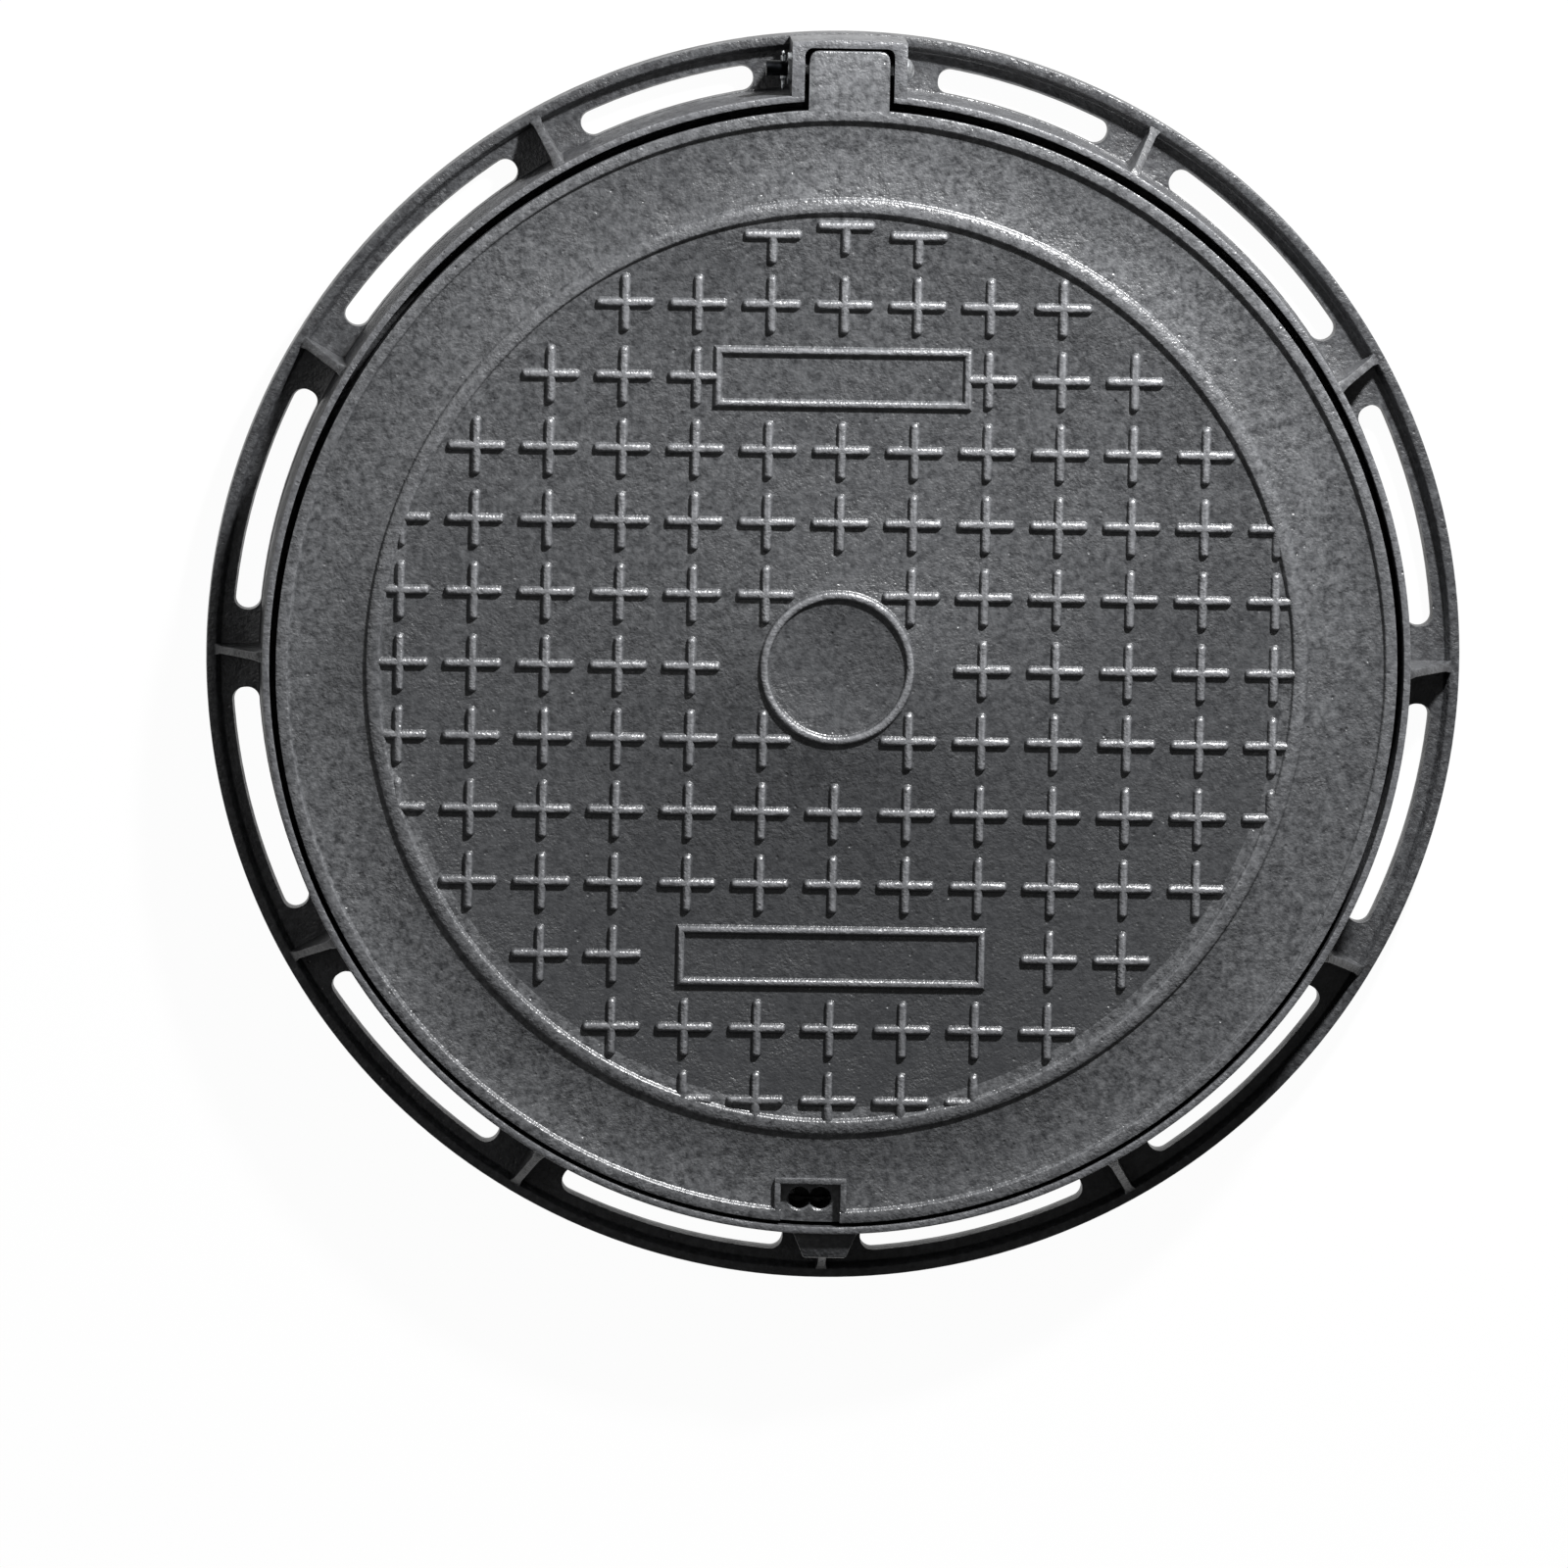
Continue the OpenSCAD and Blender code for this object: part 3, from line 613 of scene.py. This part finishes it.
# a straight bore with a chamfer where it opens into the pocket
def lobeCutter(size, x, y):
    hole, floor = size["keyhole"], size["pocket"]["floor"]
    radius, chamfer, over = hole["radius"], hole["chamfer"], hole["over"]
    start = size["foot"] - hole["below"]
    cutter = turned("lobe", [(0, start), (radius, start), (radius, floor - chamfer),
                             (radius + chamfer + over, floor + over), (0, floor + over)],
                    steps=hole["sides"], closed=False)
    cutter.data.transform(Matrix.Translation(Vector((x, y, 0)) * mm))
    return cutter


def cutKeyhole(shell, size):
    pocket, hole, edge = size["pocket"], size["keyhole"], -size["radius"]
    half = pocket["width"] / 2 - pocket["border"]
    far = pocket["length"] - pocket["border"] - size["radius"]
    useBoolean(shell, block("pocketCut", (pocket["middle"] - half, edge - overshoot, pocket["floor"]),
                            (pocket["middle"] + half, far, size["top"] + overshoot)))
    for side in (-1, 1):
        useBoolean(shell, lobeCutter(size, pocket["middle"] + side * hole["apart"] / 2, hole["inset"] + edge))


def pocketBars(size):    # the raised border at three sides of the pocket
    pocket, border = size["pocket"], size["pocket"]["border"]
    low, high = size["plate"] - pocket["sunk"], size["top"]
    inner = pocket["length"] - size["radius"]
    left, right = (pocket["middle"] + side * pocket["width"] / 2 for side in (-1, 1))
    bars = [block("pocketBar", (left, inner - border, low), (right, inner, high))]
    bars += [block("pocketBar", (x, pocket["wallGap"] - size["radius"], low),
                   (x + border, inner - border / 2, high - pocket["step"])) for x in (left, right - border)]
    for bar in bars:
        roundEdges(bar, pocket["round"])
    return bars


def makeLid(size):
    shell = lidShell(size)
    print("lid shell turned")
    cutKeyhole(shell, size)
    print("pocket and keyhole cut")
    parts = [shell] + layCrosses(size)
    print("crosses laid")
    for row, length in size["panels"].items():
        panel = raisedFrame("panel", length, size["panelWidth"], size["panelBorder"], size)
        moveMesh(panel, y=row * size["pitch"], z=size["plate"] - size["sunk"])
        parts.append(panel)
    lid = joinAll("lidCasting", parts + pocketBars(size) + lidRibs(size))
    moveMesh(lid, y=size["shift"])
    lid = joinAll("lidCasting", [lid, lidTongue(size)])
    finishCasting(lid, lidPaint)
    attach(lid, "lid_body")
    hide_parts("lid")
    print("lid made:", len(lid.data.polygons), "faces")


makeLid(lidSize)

frameSize = {    # mm
    "height": 60.0, "mouth": 361.0, "wallTop": 365.5, "wallFoot": 366.5, "wallSeat": 360.0,
    "ledge": 347.0, "ledgeTop": 22.0, "ledgeUnder": 13.0, "slope": (355.5, 8.0),
    "edge": 400.0, "rim": 394.0, "rimFoot": 391.0, "rimHeight": 18.0, "floor": 11.0,
    "round": 0.9, "bite": 2.2,    # how far what stands on the wall reaches into it
    "foot": 1,                    # where what stands on the flange starts, inside it
    "slots": {"inner": 367.0, "outer": 383.0, "flare": 1.4, "flareHeight": 4,
              "angle": 22.4, "short": (9.0, 26.4), "step": 1.87,    # degrees
              "endShare": 0.97, "endSteps": 8},
    "bays": 12,
    "gusset": {"thick": 5.4, "foot": 7.0, "top": 57.0, "inner": 370.0, "outer": 391.0, "flare": 1.7,
               "wallDrop": 0.2, "rimBite": 2.5, "rimDrop": 1.2},
    "boss": {"width": 43.0, "end": 27.0, "out": 381.5, "top": 55.0, "round": 1.2},
    "box": {"inner": 28.5, "outer": 36.5, "back": 394.3, "edge": 399.5, "sill": 30.0, "corner": 5.0,
            "cornerSteps": 5, "start": 352, "end": 405, "drop": 0.06, "hollowStart": 300},
    "pin": {"y": 380.0, "z": 47.5, "bore": 5.25, "reach": 60},
    "lug": {"hole": 323.0, "bore": 8.0, "end": 13.0, "width": 40.0, "low": 7.0, "high": 16.0,
            "root": (5, 6.5), "round": 1.0, "turns": (60, 180, 300)},
    "past": (-10, 80),    # heights below and above everything
}


def frameRing(size):
    top, floor, seat = size["height"], size["floor"], size["wallSeat"]
    edge, rim, rimHeight = size["edge"], size["rim"], size["rimHeight"]
    ledge, ledgeTop = size["ledge"], size["ledgeTop"]
    ring = turned("ring", [
        (seat, 0), (edge, 0), (edge, rimHeight), (rim, rimHeight), (size["rimFoot"], floor),
        (size["wallFoot"], floor), (size["wallTop"], top), (size["mouth"], top),
        (seat, ledgeTop), (ledge, ledgeTop), (ledge, size["ledgeUnder"]), size["slope"],
    ], steps=roundSteps)
    roundEdges(ring, size["round"])
    return ring


# its outer side leans out towards the top, and its upright corners are rounded into half circles
def slotCutter(size, start, end):
    slot, floor, rise = size["slots"], size["floor"], size["slots"]["flareHeight"]
    inner, outer = slot["inner"], slot["outer"]
    out = Matrix.Rotation(math.radians(-start), 3, "Z") @ Vector((0, 1, 0))
    cutter = drawProfile("slotCutter", [
        (inner, -overshoot), (outer, -overshoot), (outer, floor - rise),
        (outer + slot["flare"] * (rise + overshoot) / rise, floor + overshoot), (inner, floor + overshoot),
    ], True, out)
    bpy.ops.mesh.remove_doubles(threshold=0.01 * mm)
    bpy.ops.mesh.edge_face_add()
    bpy.ops.mesh.spin(steps=round((end - start) / slot["step"]), angle=math.radians(end - start),
                      center=(0, 0, 0), axis=(0, 0, 1))
    bpy.ops.mesh.select_all(action="SELECT")
    bpy.ops.mesh.remove_doubles(threshold=0.01 * mm)
    bpy.ops.mesh.normals_make_consistent(inside=False)
    ends = [Matrix.Rotation(math.radians(-a), 3, "Z") @ Vector((1, 0, 0)) for a in (start, end)]
    pick(cutter, "EDGE", lambda e: isUpright(e) and min(abs(middle(e).dot(side)) for side in ends) < 0.5)
    bpy.ops.mesh.bevel(offset=(outer - inner) / 2 * slot["endShare"] * mm, segments=slot["endSteps"])
    closeMesh()
    return cutter


def slotPlaces(size):    # the two beside the hinge box are shorter
    bay, half = 360 / size["bays"], size["slots"]["angle"] / 2
    near, far = size["slots"]["short"]
    yield near, far
    yield 360 - far, 360 - near
    for i in range(1, size["bays"] - 1):
        yield (i + 0.5) * bay - half, (i + 0.5) * bay + half


# a sloped fin, flared where it meets the wall and the rim
def makeGusset(size):
    fin = size["gusset"]
    half, top, rim, flange = fin["thick"] / 2, fin["top"], size["rimHeight"], size["foot"]
    inner, outer = fin["inner"], fin["outer"]
    fall = (top - rim) / (size["rim"] - size["wallTop"])
    highIn = top - (inner - size["wallTop"]) * fall
    highOut = top - (outer - size["wallTop"]) * fall
    gusset = block("gusset", (-half, inner, flange), (half, outer, highIn))
    openMesh(gusset)
    pick(gusset, "EDGE", lambda e: middle(e).y > outer - 1 and abs(middle(e).z - highIn) < slack)
    bpy.ops.transform.translate(value=(0, 0, (highOut - highIn) * mm))
    atWall = (inner, size["mouth"] + size["bite"] - inner, top - highIn - fin["wallDrop"])
    atRim = (outer, size["rim"] + fin["rimBite"] - outer, rim - fin["rimDrop"] - highOut)
    for place, reach, rise in (atWall, atRim):
        pick(gusset, "FACE", lambda f: abs(middle(f).y - place) < slack)
        bpy.ops.mesh.extrude_region_move(TRANSFORM_OT_translate={"value": (0, reach * mm, 0)})
        bpy.ops.transform.resize(value=(fin["flare"], 1, 1))
        pick(gusset, "EDGE", lambda e: abs(middle(e).y - place - reach) < slack and middle(e).z > flange + 2
             and abs(middle(e).x) < slack)
        bpy.ops.transform.translate(value=(0, 0, rise * mm))
    pick(gusset, "VERT", lambda v: v.co.z < (flange + 1) * mm)
    bpy.ops.transform.resize(value=(fin["foot"] / fin["thick"], 1, 1))
    closeMesh()
    roundEdges(gusset, size["round"])
    return gusset


def lockBoss(size):    # stands where a gusset would, under the keyhole
    boss = size["boss"]
    half, start = boss["width"] / 2, size["mouth"] + size["bite"]
    piece = block("boss", (-half, start, size["foot"]), (half, boss["out"], boss["top"]))
    openMesh(piece)
    pick(piece, "FACE", lambda f: middle(f).y > boss["out"] - 0.5)
    bpy.ops.transform.resize(value=(boss["end"] / boss["width"], 1, 1))
    closeMesh()
    roundEdges(piece, boss["round"])
    return piece


def hingeBox(size):
    box, pin, half = size["box"], size["pin"], size["box"]["inner"]
    low, high = size["past"]
    piece = block("hingeBox", (-box["outer"], box["start"], size["foot"]),
                  (box["outer"], box["end"], size["height"] - box["drop"]))
    outside = rod("edge", box["edge"], (0, 0, low), (0, 0, high), sides=480)
    useBoolean(piece, outside, "INTERSECT")
    useBoolean(piece, rod("wall", size["mouth"] + size["bite"], (0, 0, low), (0, 0, high), sides=480))
    hollow = block("hollow", (-half, box["hollowStart"], box["sill"]), (half, box["back"], high))
    openMesh(hollow)
    pick(hollow, "EDGE", lambda e: middle(e).y > box["back"] - 1 and abs(middle(e).x) > half - 1
         and isUpright(e))
    bpy.ops.mesh.bevel(offset=box["corner"] * mm, segments=box["cornerSteps"])
    closeMesh()
    useBoolean(piece, copyOf(hollow))
    ends = [(x, pin["y"], pin["z"]) for x in (-pin["reach"], pin["reach"])]
    useBoolean(piece, rod("bore", pin["bore"], *ends))
    roundEdges(piece, size["round"])
    return piece, hollow


def netLug(size):
    lug = size["lug"]
    low, high, half = lug["low"], lug["high"], lug["width"] / 2
    near, far = (size["ledge"] + y for y in lug["root"])
    root = block("lug", (-half, near, low), (half, far, high))
    piece = joinAll("lug", [root, rod("lugEnd", lug["end"], (0, lug["hole"], low), (0, lug["hole"], high))])
    openMesh(piece)
    bpy.ops.mesh.select_all(action="SELECT")
    bpy.ops.mesh.convex_hull()
    closeMesh()
    ends = [(0, lug["hole"], z) for z in (low - overshoot, high + overshoot)]
    useBoolean(piece, rod("lugHole", lug["bore"], *ends))
    roundEdges(piece, lug["round"], angle=40)
    return piece


def makeFrame(size):
    ring = frameRing(size)
    box, hollow = hingeBox(size)
    useBoolean(ring, hollow)
    useBoolean(ring, joinAll("slotCutters", [slotCutter(size, *place) for place in slotPlaces(size)]))
    print("frame ring slotted")
    gusset, boss, lug = makeGusset(size), lockBoss(size), netLug(size)
    parts = [ring, box, copyOf(boss, turn=180)]
    parts += [copyOf(gusset, turn=360 / size["bays"] * i) for i in range(1, size["bays"])]
    parts += [copyOf(lug, turn=turn) for turn in size["lug"]["turns"]]
    for spare in (gusset, boss, lug):
        bpy.data.objects.remove(spare)
    casting = joinAll("frameCasting", parts)
    finishCasting(casting, framePaint)
    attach(casting, "frame_body")
    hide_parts("frame")
    print("frame made:", len(casting.data.polygons), "faces")


makeFrame(frameSize)

# bright zinc on drawn wire and a washer, dulled in cloudy patches; and a cold drawn steel pin with a
# thin oil film, near black at its split-pin end
pinFinish = {
    "zinc": {"low": "#a9adb0", "high": "#dcdfe1", "roughness": (0.22, 0.42), "clouds": 3.0},    # mm
    "drawnSteel": {"low": "#8d8f92", "high": "#d0d2d4", "roughness": (0.30, 0.48), "clouds": 6.0,
                   "darkened": "#121315", "darkenedTo": (-36.0, -33.0)},    # mm
    "stops": (0.35, 0.70), "glossClouds": (0.3, 0.7), "strength": 0.4, "depth": 0.1,
}


def fastenerSteel(name, look, finish):
    material = bpy.data.materials.new(name)
    material.use_nodes = True
    tree = material.node_tree
    shader = tree.nodes["Principled BSDF"]
    shader.inputs["Metallic"].default_value = 1.0
    place = addNode(tree, "ShaderNodeTexCoord").outputs["Object"]
    clouds = addNode(tree, "ShaderNodeTexNoise", {"Vector": place, "Scale": 1 / (look["clouds"] * mm),
                                                  "Detail": 3.0}).outputs["Fac"]
    shade = addNode(tree, "ShaderNodeValToRGB", {"Fac": clouds})
    for stop, position, part in zip(shade.color_ramp.elements, finish["stops"], ("low", "high")):
        stop.position, stop.color = position, hexToLinear(look[part])
    colour = shade.outputs["Color"]
    if "darkened" in look:
        along = addNode(tree, "ShaderNodeSeparateXYZ", {"Vector": place}).outputs["X"]
        start, end = (x * mm for x in look["darkenedTo"])
        darkening = addNode(tree, "ShaderNodeMapRange", {"Value": along}
                      | dict(zip(rangeSockets, (start, end, 1.0, 0.0))))
        darkened = addNode(tree, "ShaderNodeMix", data_type="RGBA",
                         inputs={0: darkening.outputs["Result"], 6: colour, 7: hexToLinear(look["darkened"])})
        colour = darkened.outputs[2]
    tree.links.new(colour, shader.inputs["Base Color"])
    gloss = addNode(tree, "ShaderNodeMapRange", {"Value": clouds}
                    | dict(zip(rangeSockets, finish["glossClouds"] + look["roughness"])))
    tree.links.new(gloss.outputs["Result"], shader.inputs["Roughness"])
    bump = addNode(tree, "ShaderNodeBump", {"Height": clouds, "Strength": finish["strength"],
                                            "Distance": finish["depth"] * mm})
    tree.links.new(bump.outputs["Normal"], shader.inputs["Normal"])
    return material


zinc = fastenerSteel("zincPlatedSteel", pinFinish["zinc"], pinFinish)
drawnSteel = fastenerSteel("drawnSteelPin", pinFinish["drawnSteel"], pinFinish)
for name, steel in {"hinge_pin": drawnSteel, "washer": zinc, "split_pin": zinc}.items():
    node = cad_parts[name]
    node.data.materials.clear()
    node.data.materials.append(steel)
print("pins finished")
